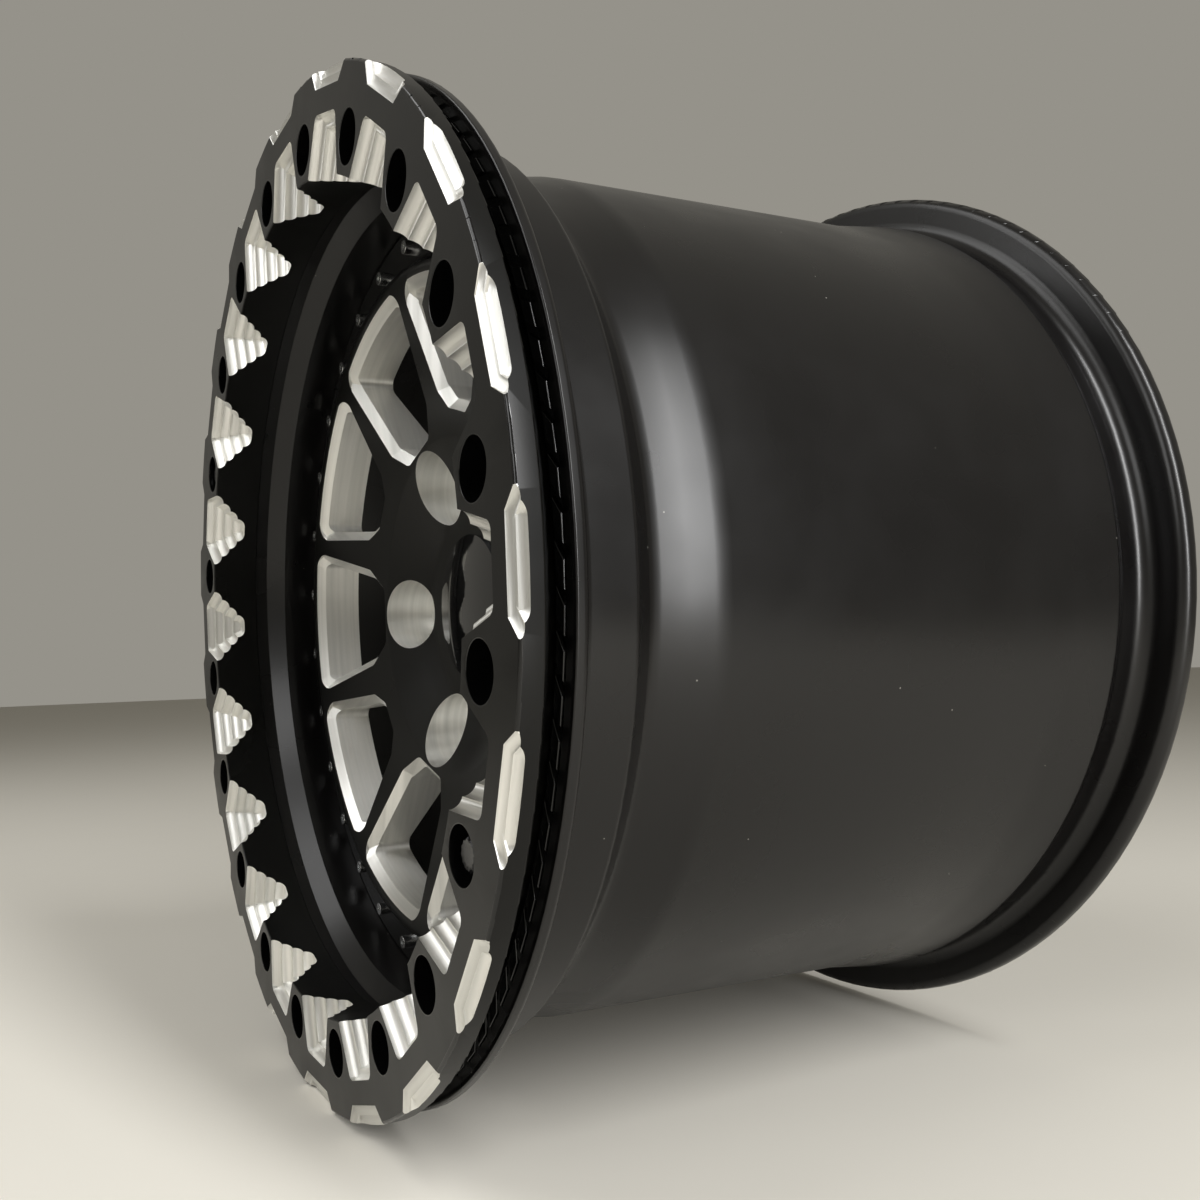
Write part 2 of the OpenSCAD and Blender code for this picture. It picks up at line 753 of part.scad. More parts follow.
// Places on the cap, from its seat on the hub
rim_z = hub_face_z - cap_rim_h;
o_ring_z = hub_face_z + cap_skirt / 2;
skirt_r = cap_bore_r - cap_fit;
groove_floor_r = cap_bore_r - o_ring_d;

// The cap's outside: a dome over a rim and a skirt with a groove
module cap_outline() {
    dome_r = (pow(cap_r, 2) + pow(cap_dome_h, 2)) / 2 / cap_dome_h;
    top_z = rim_z - cap_dome_h;
    groove_h = 1.2 * o_ring_d;
    intersection() {
        translate([0, top_z + dome_r]) circle(r = dome_r, $fn = 1440);
        polygon([
            [0, top_z - over], [cap_r, top_z - over], [cap_r, hub_face_z], [skirt_r, hub_face_z],
            [skirt_r, o_ring_z - groove_h / 2], [groove_floor_r, o_ring_z - groove_h / 2],
            [groove_floor_r, o_ring_z + groove_h / 2], [skirt_r, o_ring_z + groove_h / 2],
            [skirt_r, hub_face_z + cap_skirt], [0, hub_face_z + cap_skirt]
        ]);
    }
}

module centre_cap() {
    color([0.02, 0.02, 0.02]) on_axle() difference() {
        rotate_extrude() cap_outline();
        translate([0, 0, rim_z - cap_dome_h + cap_wall])
            cylinder(r = groove_floor_r - cap_wall, h = cap_skirt + cap_rim_h + cap_dome_h);
    }
}

module cap_o_ring() {
    color([0.1, 0.1, 0.1]) on_axle()
        rotate_extrude()
            translate([cap_bore_r - o_ring_d / 2, o_ring_z]) circle(d = o_ring_d - cap_fit);
}

barrel();
centre();
centre_screws();
beadlock_ring();
ring_bolts();
centre_cap();
cap_o_ring();
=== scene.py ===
"""Looks of a forged beadlock wheel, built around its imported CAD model.

The axle lies along Y, with the clamp ring towards -Y. Sizes here are in
millimetres in the drawing frame of the part's source: a depth is measured
behind the clamp ring's front face, a radius from the axle, and an angle runs
around the axle from +X towards -Z.
"""

import logging
import math
from dataclasses import dataclass
from enum import Enum
from typing import Callable, ClassVar

import bmesh
import bpy
from mathutils import Euler, Matrix, Vector


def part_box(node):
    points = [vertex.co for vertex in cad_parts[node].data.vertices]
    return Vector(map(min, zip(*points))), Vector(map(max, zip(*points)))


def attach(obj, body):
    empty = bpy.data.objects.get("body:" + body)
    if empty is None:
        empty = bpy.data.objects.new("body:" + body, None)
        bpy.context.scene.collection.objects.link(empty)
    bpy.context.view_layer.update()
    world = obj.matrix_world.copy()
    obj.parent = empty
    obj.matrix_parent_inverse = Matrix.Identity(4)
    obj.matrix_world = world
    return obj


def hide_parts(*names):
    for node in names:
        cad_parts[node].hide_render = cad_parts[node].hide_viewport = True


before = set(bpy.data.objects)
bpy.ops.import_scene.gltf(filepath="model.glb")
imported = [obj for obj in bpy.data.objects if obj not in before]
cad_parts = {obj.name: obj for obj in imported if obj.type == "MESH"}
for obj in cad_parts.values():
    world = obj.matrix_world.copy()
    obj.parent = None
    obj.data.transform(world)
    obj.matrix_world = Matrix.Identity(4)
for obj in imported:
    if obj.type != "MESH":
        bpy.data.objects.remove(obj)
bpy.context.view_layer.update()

Tree, Node, Socket = bpy.types.NodeTree, bpy.types.Node, bpy.types.NodeSocket
Piece = bpy.types.Object

LOG = logging.getLogger("wheel")
MM = 0.001
ROOT = "root"
HALF_DEPTH = -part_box("beadlock_ring")[0].y / MM
# Closer than this, in metres, two points of a mesh are one
SAME_POINT = 1e-6
# Slack in millimetres for telling by its place to which surface a face belongs
HAIR, TIGHT, SLACK, LOOSE = 0.02, 0.05, 0.1, 0.2
# From this share of its normal along a direction on, a face looks squarely that way
SQUARELY = 0.98
# Bend in degrees from which an edge or a profile has a corner, and from which it is shaded sharp
CORNER_BEND, SHARP_BEND = 60, 30
# Numbers of sides that round parts of fasteners are drawn with
HEX_SIDES, SHANK_SIDES, HEAD_SIDES, FLANGE_SIDES = 6, 16, 24, 64


def linear(hex_colour: str) -> tuple[float, float, float, float]:
    """Turns an sRGB hex colour into the linear colour that a shader takes.

    Args:
        hex_colour: The colour as "#rrggbb".

    Returns:
        Linear red, green and blue, and an alpha of 1.
    """
    parts = [int(hex_colour[i : i + 2], 16) / 255 for i in (1, 3, 5)]
    red, green, blue = (
        p / 12.92 if p <= 0.04045 else ((p + 0.055) / 1.055) ** 2.4 for p in parts
    )
    return red, green, blue, 1.0


def add_node(tree: Tree, kind: str, inputs: dict | None = None, **settings) -> Node:
    """Adds a node with its settings, its values and its links.

    Args:
        tree: The node tree that takes the node.
        kind: The node's type name, less its leading "ShaderNode".
        inputs: Values or output sockets by the name or number of the input.
        **settings: Properties of the node.

    Returns:
        The new node.
    """
    node = tree.nodes.new(f"ShaderNode{kind}")
    for name, value in settings.items():
        setattr(node, name, value)
    for key, value in (inputs or {}).items():
        if isinstance(value, Socket):
            tree.links.new(value, node.inputs[key])
        else:
            node.inputs[key].default_value = value
    return node


def worked_out(tree: Tree, operation: str, first: Socket, second: Socket | float) -> Socket:
    """Gives the result of one operation of a Math node on two values."""
    return add_node(tree, "Math", {0: first, 1: second}, operation=operation).outputs[0]


class Marks(Enum):
    """Which way the tool's marks run over a machined surface."""

    AROUND_AXLE = "around the axle, as turned or milled along a circle"
    LEVEL = "level around a pocket, as a side mill leaves them"


@dataclass(frozen=True)
class Finish:
    """A real finish, as the values of its shader.

    Attributes:
        name: The material's name.
        colour: Base colour in sRGB.
        roughness: Mean roughness.
        metallic: 1 for bare metal.
        specular: Specular level of a coat or plastic.
        coat: Weight of a clear top layer.
        coat_roughness: Roughness of that layer.
    """

    name: str
    colour: str
    roughness: float
    metallic: float = 0.0
    specular: float = 0.5
    coat: float = 0.0
    coat_roughness: float = 0.1

    def material(self) -> bpy.types.Material:
        """Gives the finish's material, made on its first use."""
        found = bpy.data.materials.get(self.name)
        if found is not None:
            return found
        made = bpy.data.materials.new(self.name)
        made.use_nodes = True
        tree = made.node_tree
        tree.nodes.clear()
        shader = add_node(
            tree,
            "BsdfPrincipled",
            {
                "Base Color": linear(self.colour),
                "Metallic": self.metallic,
                "Roughness": self.roughness,
                "Specular IOR Level": self.specular,
                "Coat Weight": self.coat,
                "Coat Roughness": self.coat_roughness,
            },
        )
        self.texture(tree, shader)
        add_node(tree, "OutputMaterial", {"Surface": shader.outputs["BSDF"]})
        made.diffuse_color = linear(self.colour)
        return made

    def texture(self, tree: Tree, shader: Node) -> None:
        """Adds the finish's patterns to its shader. A plain finish has none."""

    def place(self, tree: Tree, cell: tuple[float, float, float]) -> Socket:
        """Gives Object coordinates measured in cells, whose size is in millimetres."""
        source = add_node(tree, "TexCoord")
        scaled = add_node(
            tree,
            "VectorMath",
            {0: source.outputs["Object"], 1: tuple(1 / (size * MM) for size in cell)},
            operation="MULTIPLY",
        )
        return scaled.outputs[0]

    def noise(self, tree: Tree, place: Socket, detail: float) -> Socket:
        """Gives a noise from 0 to 1, with finer layers, over coordinates measured in cells."""
        made = add_node(tree, "TexNoise", {"Vector": place, "Scale": 1.0, "Detail": detail})
        return made.outputs["Fac"]

    def spread(self, tree: Tree, value: Socket, low: float, high: float) -> Socket:
        """Maps a noise value, which keeps near its middle, onto a range.

        Args:
            tree: The material's node tree.
            value: The noise, from 0 to 1.
            low: Result for a low noise value.
            high: Result for a high one.

        Returns:
            The mapped value.
        """
        usual = {"From Min": 0.3, "From Max": 0.7}
        mapped = add_node(
            tree, "MapRange", {"Value": value, "To Min": low, "To Max": high, **usual}
        )
        return mapped.outputs["Result"]

    def emboss(self, tree: Tree, shader: Node, value: Socket, height: float) -> None:
        """Raises the surface where a value is high, by a height in millimetres."""
        raised = {"Strength": 1.0, "Distance": height * MM, "Height": value}
        bump = add_node(tree, "Bump", raised)
        tree.links.new(bump.outputs["Normal"], shader.inputs["Normal"])

    def vary_sheen(self, tree: Tree, shader: Node, value: Socket, reach: float) -> None:
        """Lets a value move the roughness up and down by a reach."""
        rough = self.spread(tree, value, self.roughness - reach, self.roughness + reach)
        tree.links.new(rough, shader.inputs["Roughness"])

    def blend_colour(self, tree: Tree, shader: Node, share: Socket, other: str) -> None:
        """Blends the base colour with a share of another colour."""
        colour = add_node(
            tree,
            "Mix",
            {"Factor": share, "A": linear(self.colour), "B": linear(other)},
            data_type="RGBA",
        )
        # a Mix node's colour result is its third output
        tree.links.new(colour.outputs[2], shader.inputs["Base Color"])


@dataclass(frozen=True)
class PowderCoat(Finish):
    """Polyester powder coat, sprayed dry and baked, so it has a faint orange peel.

    Attributes:
        peel: Width of one cell of the orange peel.
        peel_height: Height of the orange peel.
        dust: Share of the speck cells that hold a speck of dust.
        dust_colour: Colour of the dust.
    """

    peel: float = 1.6
    peel_height: float = 0.0025
    dust: float = 0.0
    dust_colour: str = "#77756f"

    def texture(self, tree: Tree, shader: Node) -> None:
        """Adds the orange peel, the uneven sheen and the dust."""
        peel = self.noise(tree, self.place(tree, (self.peel,) * 3), 1.0)
        self.emboss(tree, shader, peel, self.peel_height)
        # the sheen varies a little over half a hand's width, as on handled coats
        hand, reach = 45.0, 0.04
        sheen = self.noise(tree, self.place(tree, (hand,) * 3), 3.0)
        self.vary_sheen(tree, shader, sheen, reach)
        if self.dust > 0:
            self.dust_specks(tree, shader)

    def dust_specks(self, tree: Tree, shader: Node) -> None:
        """Adds pale specks of dust, drawn coarser than real so that they just show."""
        cell = 9.0
        speck_radius = 0.3
        specks = add_node(
            tree,
            "TexVoronoi",
            {"Vector": self.place(tree, (cell,) * 3), "Scale": 1.0, "Randomness": 1.0},
        )
        near = worked_out(tree, "LESS_THAN", specks.outputs["Distance"], speck_radius / cell)
        pick = add_node(tree, "SeparateColor", {"Color": specks.outputs["Color"]})
        chosen = worked_out(tree, "LESS_THAN", pick.outputs["Red"], self.dust)
        there = worked_out(tree, "MULTIPLY", near, chosen)
        self.blend_colour(tree, shader, there, self.dust_colour)


@dataclass(frozen=True)
class MachinedMetal(Finish):
    """Aluminium or steel as the cutter leaves it: bright, with fine lines along the cut.

    Attributes:
        marks: Which way the tool's marks run.
        pitch: Distance between marks, drawn coarser than real so that they show.
        mark_height: Height of the marks.
        streak: Width of the broad bands in which the sheen changes.
        shade: Colour of the darker bands.
        anisotropy: How much more the marks spread light across them than along them.
        stretch: Length of a mark, measured in its pitch.
        lean: How far the direction across the marks leans from the axle outwards.
    """

    shade: str = "#d9d9d5"
    marks: Marks = Marks.AROUND_AXLE
    pitch: float = 0.55
    mark_height: float = 0.0025
    streak: float = 2.4
    anisotropy: float = 0.8
    stretch: float = 40.0
    lean: float = 0.25

    def texture(self, tree: Tree, shader: Node) -> None:
        """Adds the tool's marks, the bands of sheen and the spread of light across the marks."""
        tree.links.new(self.across_marks(tree), shader.inputs["Tangent"])
        shader.inputs["Anisotropic"].default_value = self.anisotropy
        lines = self.noise(tree, self.along_marks(tree, self.pitch), 2.0)
        bands = self.noise(tree, self.along_marks(tree, self.streak), 2.0)
        self.emboss(tree, shader, lines, self.mark_height)
        sheen_reach = 0.05
        self.vary_sheen(tree, shader, bands, sheen_reach)
        self.blend_colour(tree, shader, self.spread(tree, bands, 0.0, 1.0), self.shade)

    def across_marks(self, tree: Tree) -> Socket:
        """Gives the direction across the marks, in which they spread the light.

        It runs along the axle on the walls of a cut, and away from the axle on
        faces that look to the front.
        """
        place = add_node(tree, "TexCoord")
        outward = add_node(
            tree,
            "VectorMath",
            {0: place.outputs["Object"], 1: (1.0, 0.0, 1.0)},
            operation="MULTIPLY",
        )
        unit = add_node(tree, "VectorMath", {0: outward.outputs[0]}, operation="NORMALIZE")
        tilted = add_node(
            tree,
            "VectorMath",
            {0: unit.outputs[0], 1: (self.lean,) * 3, 2: (0.0, 1.0, 0.0)},
            operation="MULTIPLY_ADD",
        )
        return tilted.outputs[0]

    def along_marks(self, tree: Tree, pitch: float) -> Socket:
        """Gives coordinates that change fast across the marks and slowly along them.

        Args:
            tree: The material's node tree.
            pitch: Distance between two marks, in millimetres.

        Returns:
            The coordinates, measured in marks.
        """
        length = self.stretch * pitch
        if self.marks is Marks.LEVEL:
            return self.place(tree, (length, pitch, length))
        parts = add_node(tree, "SeparateXYZ", {"Vector": self.place(tree, (pitch,) * 3)})
        flat = add_node(tree, "CombineXYZ", {"X": parts.outputs["X"], "Z": parts.outputs["Z"]})
        radius = add_node(tree, "VectorMath", {0: flat.outputs[0]}, operation="LENGTH")
        angle = worked_out(tree, "ARCTAN2", parts.outputs["Z"], parts.outputs["X"])
        turned = add_node(
            tree,
            "CombineXYZ",
            {"X": radius.outputs["Value"], "Y": parts.outputs["Y"], "Z": angle},
        )
        return turned.outputs[0]


@dataclass(frozen=True)
class FineGrain(Finish):
    """A plated, blackened or moulded surface with a fine even grain.

    Attributes:
        grain: Width of one grain.
        grain_height: Height of the grain.
    """

    grain: float = 0.35
    grain_height: float = 0.0015

    def texture(self, tree: Tree, shader: Node) -> None:
        """Adds the grain and its change of sheen."""
        grain = self.noise(tree, self.place(tree, (self.grain,) * 3), 2.0)
        self.emboss(tree, shader, grain, self.grain_height)
        sheen_share = 0.2
        self.vary_sheen(tree, shader, grain, sheen_share * self.roughness)


# Satin black powder coat on the barrel: a broad soft sheen and a little dust
BARREL_COAT = PowderCoat(
    "satin_black_powder_coat_barrel", "#060505", 0.29, specular=0.4, dust=0.3
)
# The same coat on the ring and the centre, which were wiped clean
SATIN_COAT = PowderCoat("satin_black_powder_coat", "#060605", 0.31, specular=0.22)
# The coat where it flowed out glossier: the screw flange, the ring's front edge,
# the bolt pockets and the grip ribs
GLOSS_COAT = PowderCoat(
    "gloss_black_powder_coat", "#060606", 0.17, specular=0.45, peel_height=0.0015
)
# 6061 aluminium as a ball-nosed mill leaves it: bright, with level lines along each pass
BALL_MILLED = MachinedMetal(
    "ball_milled_aluminium", "#f6f5f1", 0.4, metallic=1.0, marks=Marks.LEVEL
)
# 6061 aluminium as the side of an end mill leaves it: bright, with coarser level lines
SIDE_MILLED = MachinedMetal(
    "side_milled_aluminium",
    "#f4f3ef",
    0.44,
    metallic=1.0,
    marks=Marks.LEVEL,
    pitch=0.7,
    streak=3.5,
)
# Turned aluminium of the mounting face: concentric lines, duller than the milled parts
TURNED = MachinedMetal("turned_aluminium", "#d9d9d6", 0.34, metallic=1.0, pitch=0.8)
# Bright zinc on the small screws: mirror-like with a fine grain
ZINC_PLATE = FineGrain("bright_zinc_plated_steel", "#f2f3f3", 0.22, metallic=1.0)
# Black oxide on the ring bolts: dark metal under a film of oil
BLACK_OXIDE = FineGrain(
    "black_oxide_steel", "#1b1b1d", 0.24, metallic=0.7, coat=0.3, coat_roughness=0.12
)
# Gloss black cap: moulded ABS, almost a mirror
GLOSS_ABS = FineGrain(
    "gloss_black_abs",
    "#060607",
    0.07,
    coat=0.6,
    coat_roughness=0.03,
    grain=6.0,
    grain_height=0.006,
)
# Nitrile rubber of the cap's O-ring: matte with a faint bloom
NITRILE = FineGrain("nitrile_rubber", "#171717", 0.75, specular=0.3)


@dataclass(frozen=True)
class Spot:
    """Where a face lies on the wheel, in millimetres and degrees.

    Attributes:
        radius: Distance from the axle.
        angle: Angle around the axle.
        depth: Depth behind the ring's front face.
        front: Share of the normal that points out of the front.
        outward: Share of the normal that points away from the axle.
    """

    radius: float
    angle: float
    depth: float
    front: float
    outward: float

    @classmethod
    def at(cls, place: Vector, normal: Vector) -> "Spot":
        """Gives the spot of a place in metres in the wheel's frame, with its unit normal."""
        point = place / MM
        radius = math.hypot(point.x, point.z)
        outward = (normal.x * point.x + normal.z * point.z) / max(radius, SAME_POINT)
        angle = math.degrees(math.atan2(-point.z, point.x))
        return cls(radius, angle, point.y + HALF_DEPTH, -normal.y, outward)

    def near(self, count: int, start: float) -> tuple[float, float]:
        """Gives the spot's place beside the nearest of a ring of places.

        Args:
            count: Number of places around the axle.
            start: Angle of the first one.

        Returns:
            Distance along that place's own radius, and across it.
        """
        pitch = 360 / count
        off = math.radians((self.angle - start + pitch / 2) % pitch - pitch / 2)
        return self.radius * math.cos(off), self.radius * math.sin(off)


def select_only(piece: Piece) -> None:
    """Selects one piece and makes it active, with all else deselected."""
    bpy.ops.object.select_all(action="DESELECT")
    piece.select_set(True)
    bpy.context.view_layer.objects.active = piece


def edit(piece: Piece, action: str = "SELECT") -> None:
    """Opens one piece for editing, with its whole mesh selected or deselected."""
    select_only(piece)
    bpy.ops.object.mode_set(mode="EDIT")
    bpy.ops.mesh.select_all(action=action)


def apply_place(piece: Piece) -> None:
    """Moves a piece's place into its mesh, so that its object is at the origin."""
    select_only(piece)
    bpy.ops.object.transform_apply(location=True, rotation=True, scale=True)


def apply_modifier(piece: Piece, kind: str, **settings) -> None:
    """Adds a modifier to a piece and applies it.

    Args:
        piece: The piece to change.
        kind: The modifier's type name.
        **settings: Properties of the modifier.
    """
    modifier = piece.modifiers.new(kind.title(), kind)
    for name, value in settings.items():
        setattr(modifier, name, value)
    select_only(piece)
    bpy.ops.object.modifier_apply(modifier=modifier.name)


def smooth(piece: Piece, angle: float = SHARP_BEND) -> None:
    """Shades a piece smooth up to an angle, with flat faces kept flat.

    Args:
        piece: The piece to shade.
        angle: Largest bend that is shaded smooth, in degrees.
    """
    select_only(piece)
    bpy.ops.object.shade_smooth_by_angle(angle=math.radians(angle))
    apply_modifier(piece, "WEIGHTED_NORMAL", keep_sharp=True, weight=80)


def joined(pieces: list[Piece], name: str) -> Piece:
    """Joins pieces into one.

    Args:
        pieces: The pieces, the first of which stays.
        name: Name of the result.

    Returns:
        The joined piece.
    """
    bpy.ops.object.select_all(action="DESELECT")
    for piece in pieces:
        piece.select_set(True)
    bpy.context.view_layer.objects.active = pieces[0]
    bpy.ops.object.join()
    pieces[0].name = name
    pieces[0].data.name = name
    return pieces[0]


def merged_copy(node: str, name: str) -> Piece:
    """Copies a CAD node with its loose triangles merged into closed surfaces.

    Args:
        node: Name of the CAD node.
        name: Name of the copy.

    Returns:
        The copy, at the origin as the node is.
    """
    piece = bpy.data.objects.new(name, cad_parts[node].data.copy())
    piece.data.name = name
    piece.data.materials.clear()
    bpy.context.scene.collection.objects.link(piece)
    edit(piece)
    bpy.ops.mesh.remove_doubles(threshold=SAME_POINT)
    bpy.ops.mesh.customdata_custom_splitnormals_clear()
    bpy.ops.object.mode_set(mode="OBJECT")
    return piece


def chamfer(piece: Piece, chosen: Callable[[Spot], bool], width: float) -> None:
    """Breaks the sharp edges that lie where they are wanted.

    Args:
        piece: The piece, with its place in its mesh.
        chosen: Tells whether an edge's end at a spot takes part.
        width: Width of the broken edge, in millimetres.
    """
    shape = bmesh.new()
    shape.from_mesh(piece.data)
    edges = []
    for edge in shape.edges:
        if len(edge.link_faces) != 2 or edge.calc_face_angle(0) < math.radians(CORNER_BEND):
            continue
        if all(chosen(Spot.at(end.co, end.normal)) for end in edge.verts):
            edges.append(edge)
    bmesh.ops.bevel(
        shape,
        geom=edges,
        offset=width * MM,
        segments=2,
        profile=0.5,
        affect="EDGES",
        clamp_overlap=True,
    )
    shape.to_mesh(piece.data)
    shape.free()
    LOG.info("%s: %d edges broken", piece.name, len(edges))


def upright(run: Vector, towards: Vector) -> Vector:
    """Gives the unit normal of a run of the profile, on the side of another direction."""
    side = Vector((run.y, -run.x)).normalized()
    return side if side.dot(towards) >= 0 else -side


def lathe_normals(piece: Piece, chosen: Callable[[Spot], bool]) -> None:
    """Gives turned faces the normals of their profile.

    Long thin triangles around a turned edge cut off some of its roundness,
    and would show as chips in a gloss. The profile is read from the mesh
    edges that lie in a plane with the axle. Its points are told apart to a
    hundredth of a millimetre, and each keeps its shortest run on either side.

    Args:
        piece: The smoothed piece, with its place in its mesh.
        chosen: Tells whether the face at a spot may be a turned one.
    """
    mesh = piece.data
    smallest_run, largest_swerve = 0.02, 0.01
    sliver_area = 0.2 * MM**2
    places = [vertex.co / MM for vertex in mesh.vertices]
    points = [Vector((math.hypot(place.x, place.z), place.y)) for place in places]
    keys = [(round(point.x, 2), round(point.y, 2)) for point in points]
    profile: dict[tuple[float, float], list[Vector]] = {}
    for edge in mesh.edges:
        start, end = edge.vertices
        run = points[end] - points[start]
        swerve = (places[end] - places[start]).length_squared - run.length_squared
        if run.length > smallest_run and swerve < largest_swerve**2:
            profile.setdefault(keys[start], []).append(run)
            profile.setdefault(keys[end], []).append(-run)
    for key, runs in profile.items():
        shortest = min(runs, key=lambda run: run.length)
        others = [run for run in runs if run.angle(shortest) > math.radians(CORNER_BEND)]
        profile[key] = [shortest] + ([min(others, key=lambda run: run.length)] if others else [])
    normals = [corner.vector.copy() for corner in mesh.corner_normals]
    count = 0
    for face in mesh.polygons:
        spot = Spot.at(face.center, face.normal)
        own = Vector((spot.outward, -spot.front))
        if not chosen(spot) or (own.length < SQUARELY and face.area >= sliver_area):
            continue
        ends = [points[index] for index in face.vertices]
        run = max((b - a for a, b in zip(ends, ends[1:] + ends[:1])), key=lambda one: one.length)
        if run.length < smallest_run:
            continue
        count += 1
        side = upright(run, own)
        for corner in face.loop_indices:
            index = mesh.loops[corner].vertex_index
            runs = profile.get(keys[index], [run])
            sides = [upright(one, side) for one in runs]
            if len(sides) == 2 and sides[0].angle(sides[1]) < math.radians(SHARP_BEND):
                mean = (sides[0] * runs[0].length + sides[1] * runs[1].length).normalized()
            else:
                mean = max(sides, key=side.dot)
            outward = Vector((places[index].x, 0.0, places[index].z)).normalized()
            normals[corner] = outward * mean.x + Vector((0.0, mean.y, 0.0))
    mesh.normals_split_custom_set(normals)
    LOG.info("%s: %d turned faces", piece.name, count)


def dress(piece: Piece, choose: Callable[[Spot], Finish]) -> None:
    """Gives each face of a piece the finish that its place has.

    Args:
        piece: The piece, with its place in its mesh.
        choose: Gives the finish for a spot.
    """
    slots: dict[str, int] = {}
    for face in piece.data.polygons:
        finish = choose(Spot.at(face.center, face.normal))
        if finish.name not in slots:
            slots[finish.name] = len(slots)
            piece.data.materials.append(finish.material())
        face.material_index = slots[finish.name]


def coat(piece: Piece, finish: Finish) -> None:
    """Gives a whole piece one finish."""
    piece.data.materials.clear()
    piece.data.materials.append(finish.material())


def hand_in(piece: Piece, slot: str, replaced: str) -> None:
    """Declares a finished piece to the frame and reports it.

    Args:
        piece: The finished piece.
        slot: Name of the piece's material slot, which is only logged.
        replaced: The CAD node that the piece stands for.
    """
    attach(piece, ROOT)
    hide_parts(replaced)
    LOG.info("%s: %d faces, slot %s", piece.name, len(piece.data.polygons), slot)


@dataclass
class ClampRing:
    """The bolted ring that clamps the tyre's outer bead.

    Attributes:
        places: Number of scallops, notches and bolt places.
        bore_r: Radius of the ring's opening.
        floor_r: Largest radial distance of a scallop's floor.
        floor_half: Half width of a scallop along its floor.
        flare: Angle at which a scallop's sides open.
        scallop_depth: Depth to which the scallops are milled.
        notch_r: Radial distance of a notch's inner edge.
        notch_half: Half length of a notch along that edge.
        notch_flare: Angle at which a notch's ends open.
        notch_depth: Depth of a notch.
        outer_r: Outer radius of the ring.
        edge_r: Radius that breaks its outer edge.
        bolt_circle_r: Radius of the bolt circle.
        pocket_r: Radius of a head pocket.
        pocket_edge: Radius that breaks a pocket's mouth.
        flat: Least share of the normal to the front on the ring's face.
        edge_end: Share of the normal to the front where its gloss edge ends.
    """

    places: int = 20
    bore_r: float = 173.0
    floor_r: float = 195.0
    floor_half: float = 12.9
    flare: float = 15.5
    scallop_depth: float = 16.4
    notch_r: float = 204.2
    notch_half: float = 14.6
    notch_flare: float = 45.0
    notch_depth: float = 3.2
    outer_r: float = 212.0
    edge_r: float = 1.2
    bolt_circle_r: float = 186.2
    pocket_r: float = 9.6
    pocket_edge: float = 0.4
    flat: float = 0.99
    edge_end: float = 0.2

    def build(self) -> None:
        """Builds the ring with its milled faces bare and the rest coated."""
        ring = merged_copy("beadlock_ring", "clamp_ring_body")
        chamfer(ring, self.on_pocket_mouth, self.pocket_edge)
        dress(ring, self.finish_at)
        smooth(ring)
        lathe_normals(ring, self.on_outside)
        hand_in(ring, "ring_black", "beadlock_ring")

    def finish_at(self, spot: Spot) -> Finish:
        """Gives the finish of the ring at a spot."""
        if spot.front > self.flat and spot.depth < TIGHT:
            return SATIN_COAT
        if self.in_scallop(spot) or self.in_notch(spot):
            return BALL_MILLED
        if self.in_pocket(spot) or self.on_edge(spot):
            return GLOSS_COAT
        return SATIN_COAT

    def on_outside(self, spot: Spot) -> bool:
        """Tells whether a spot is on the turned outside, with its two rounded edges."""
        return spot.radius > self.outer_r - self.edge_r - TIGHT and not self.in_notch(spot)

    def on_pocket_mouth(self, spot: Spot) -> bool:
        """Tells whether a spot is on the mouth of a head pocket."""
        on_face = spot.depth < HAIR
        return on_face and abs(self.from_bolt(spot) - self.pocket_r) < TIGHT

    def in_scallop(self, spot: Spot) -> bool:
        """Tells whether a spot is on a milled scallop."""
        along, across = spot.near(self.places, 0)
        half = self.floor_half + (self.floor_r - along) * math.tan(math.radians(self.flare))
        on_bore = abs(spot.radius - self.bore_r) < LOOSE and spot.outward < -SQUARELY
        return (
            along < self.floor_r + LOOSE
            and abs(across) < half + SLACK
            and spot.depth < self.scallop_depth + SLACK
            and not on_bore
        )

    def in_notch(self, spot: Spot) -> bool:
        """Tells whether a spot is on a milled notch."""
        along, across = spot.near(self.places, 0)
        half = self.notch_half + (along - self.notch_r) * math.tan(math.radians(self.notch_flare))
        on_rim = spot.radius > self.outer_r - LOOSE and spot.outward > SQUARELY
        return (
            along > self.notch_r - LOOSE
            and abs(across) < half + SLACK
            and spot.depth < self.notch_depth + SLACK
            and not on_rim
        )

    def on_edge(self, spot: Spot) -> bool:
        """Tells whether a spot is on the front outer edge, where the coat flowed out glossy."""
        beside = spot.radius > self.outer_r - self.edge_r and spot.depth < self.edge_r
        return beside and spot.front > self.edge_end

    def in_pocket(self, spot: Spot) -> bool:
        """Tells whether a spot is in a pocket for a bolt head."""
        return self.from_bolt(spot) < self.pocket_r + self.pocket_edge

    def from_bolt(self, spot: Spot) -> float:
        """Gives the distance of a spot from the nearest bolt place's axis."""
        along, across = spot.near(self.places, 180 / self.places)
        return math.hypot(along - self.bolt_circle_r, across)


